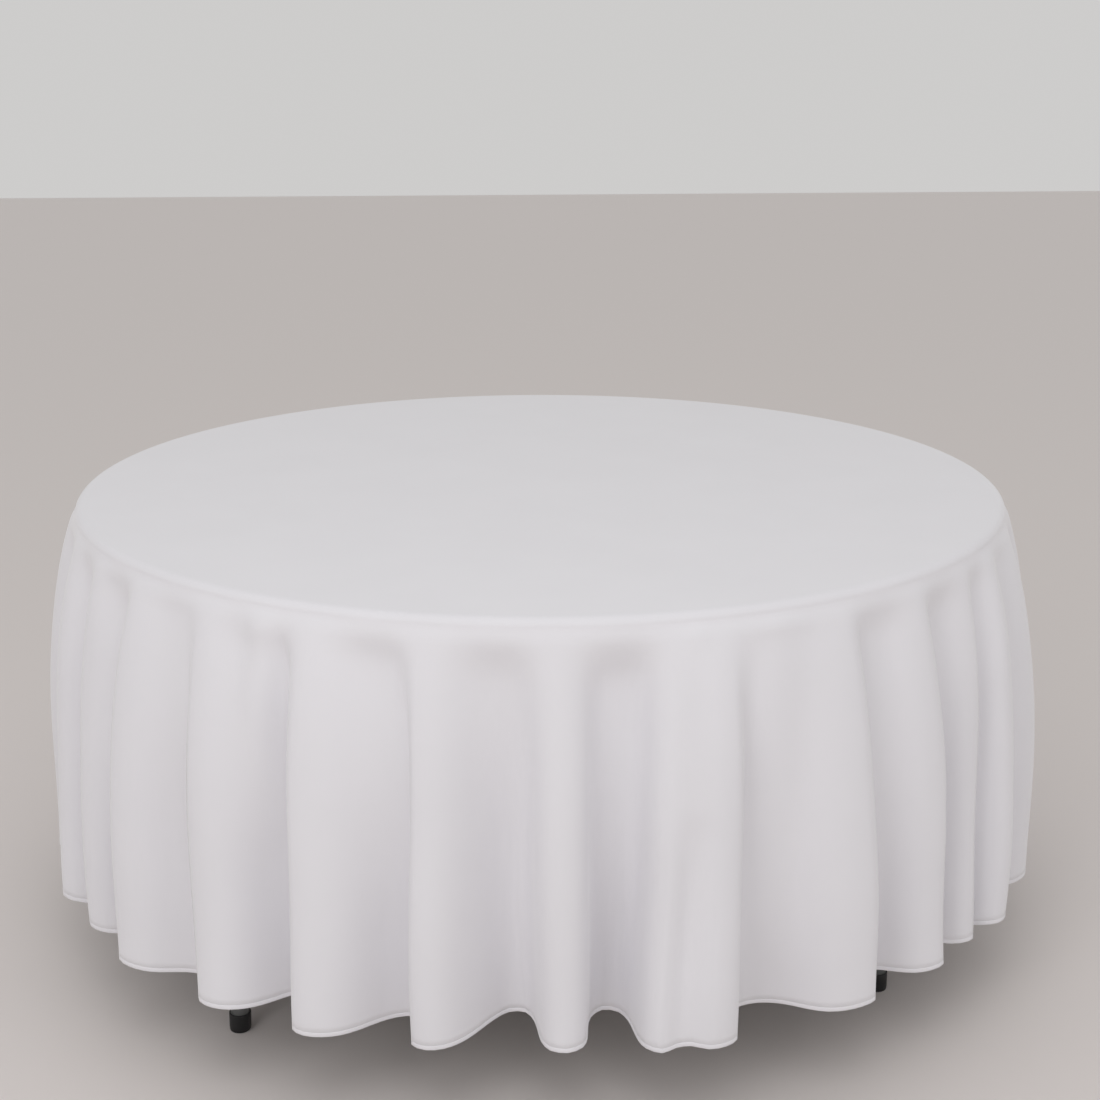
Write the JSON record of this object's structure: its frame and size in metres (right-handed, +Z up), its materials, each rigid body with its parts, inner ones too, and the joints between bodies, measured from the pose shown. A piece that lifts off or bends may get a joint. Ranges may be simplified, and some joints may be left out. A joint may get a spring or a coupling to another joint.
{
  "type": "round folding table with a draped tablecloth",
  "caption": "Round folding table under a plain white round tablecloth that hangs in soft vertical folds to just above the floor.",
  "frame": {"origin": "on the floor under the centre of the table", "axes": "+Z up; X across the two leg frames, which fold about axes parallel to Y; -Y towards the front"},
  "size_m": [1.69, 1.69, 0.7387],
  "materials": {
    "cloth": "plain white woven polyester, matt with a faint sheen",
    "cloth_hem": "the same white woven polyester, turned twice and stitched",
    "moulded_top": "off-white blow-moulded polyethylene with a fine grain",
    "grey_steel": "grey powder coat",
    "zinc_fastener": "zinc-plated steel",
    "foot_cap": "matt black moulded cap"
  },
  "bodies": {
    "table": {"bracket_screw_1": "zinc_fastener", "bracket_screw_2": "zinc_fastener", "bracket_screw_3": "zinc_fastener", "bracket_screw_4": "zinc_fastener", "centre_bracket": "grey_steel", "centre_pin_left": "zinc_fastener", "centre_pin_right": "zinc_fastener", "clamp_screw_left_back_inner": "zinc_fastener", "clamp_screw_left_back_outer": "zinc_fastener", "clamp_screw_left_front_inner": "zinc_fastener", "clamp_screw_left_front_outer": "zinc_fastener", "clamp_screw_right_back_inner": "zinc_fastener", "clamp_screw_right_back_outer": "zinc_fastener", "clamp_screw_right_front_inner": "zinc_fastener", "clamp_screw_right_front_outer": "zinc_fastener", "rail_screw_back_1": "zinc_fastener", "rail_screw_back_2": "zinc_fastener", "rail_screw_back_3": "zinc_fastener", "rail_screw_back_4": "zinc_fastener", "rail_screw_front_1": "zinc_fastener", "rail_screw_front_2": "zinc_fastener", "rail_screw_front_3": "zinc_fastener", "rail_screw_front_4": "zinc_fastener", "saddle_clamp_left_back": "grey_steel", "saddle_clamp_left_front": "grey_steel", "saddle_clamp_right_back": "grey_steel", "saddle_clamp_right_front": "grey_steel", "side_rail_back": "grey_steel", "side_rail_front": "grey_steel", "table_top": "moulded_top"},
    "leg_frame_left": {"brace_ears_left": "grey_steel", "brace_pin_left": "zinc_fastener", "cross_tube_left": "grey_steel", "foot_cap_left_back": "foot_cap", "foot_cap_left_front": "foot_cap", "leg_tube_left": "grey_steel"},
    "lower_brace_left": {"lower_brace_left": "grey_steel"},
    "upper_brace_left": {"brace_strap_left_back": "grey_steel", "brace_strap_left_front": "grey_steel", "knee_rivet_left_back": "zinc_fastener", "knee_rivet_left_front": "zinc_fastener", "strap_spacer_left": "grey_steel"},
    "leg_frame_right": {"brace_ears_right": "grey_steel", "brace_pin_right": "zinc_fastener", "cross_tube_right": "grey_steel", "foot_cap_right_back": "foot_cap", "foot_cap_right_front": "foot_cap", "leg_tube_right": "grey_steel"},
    "lower_brace_right": {"lower_brace_right": "grey_steel"},
    "upper_brace_right": {"brace_strap_right_back": "grey_steel", "brace_strap_right_front": "grey_steel", "knee_rivet_right_back": "zinc_fastener", "knee_rivet_right_front": "zinc_fastener", "strap_spacer_right": "grey_steel"},
    "tablecloth": {"tablecloth": "cloth", "tablecloth_hem": "cloth_hem"}
  },
  "joints": [
    {"name": "leg_fold_left", "type": "hinge", "parent": "table", "child": "leg_frame_left", "pos_m": [-0.48, 0, 0.65], "axis": [0, -1, 0], "range_deg": [0, 91.67]},
    {"name": "lower_brace_swing_left", "type": "hinge", "parent": "leg_frame_left", "child": "lower_brace_left", "pos_m": [-0.4619, 0, 0.37936], "axis": [0, -1, 0], "range_deg": [0, 53.84]},
    {"name": "upper_brace_swing_left", "type": "hinge", "parent": "table", "child": "upper_brace_left", "pos_m": [-0.03, 0, 0.676], "axis": [0, 1, 0], "range_deg": [0, 34.48]},
    {"name": "leg_fold_right", "type": "hinge", "parent": "table", "child": "leg_frame_right", "pos_m": [0.48, 0, 0.65], "axis": [0, 1, 0], "range_deg": [0, 91.67]},
    {"name": "lower_brace_swing_right", "type": "hinge", "parent": "leg_frame_right", "child": "lower_brace_right", "pos_m": [0.4619, 0, 0.37936], "axis": [0, 1, 0], "range_deg": [0, 53.84]},
    {"name": "upper_brace_swing_right", "type": "hinge", "parent": "table", "child": "upper_brace_right", "pos_m": [0.03, 0, 0.676], "axis": [0, -1, 0], "range_deg": [0, 34.48]},
    {"name": "tablecloth_lift", "type": "slide", "parent": "table", "child": "tablecloth", "axis": [0, 0, 1], "range_m": [0, 0.65]}
  ],
  "couplings": [
    {"joint": "lower_brace_swing_left", "follows": "leg_fold_left", "ratio": 0.58733},
    {"joint": "upper_brace_swing_left", "follows": "leg_fold_left", "ratio": 0.37614},
    {"joint": "lower_brace_swing_right", "follows": "leg_fold_right", "ratio": 0.58733},
    {"joint": "upper_brace_swing_right", "follows": "leg_fold_right", "ratio": 0.37614}
  ]
}
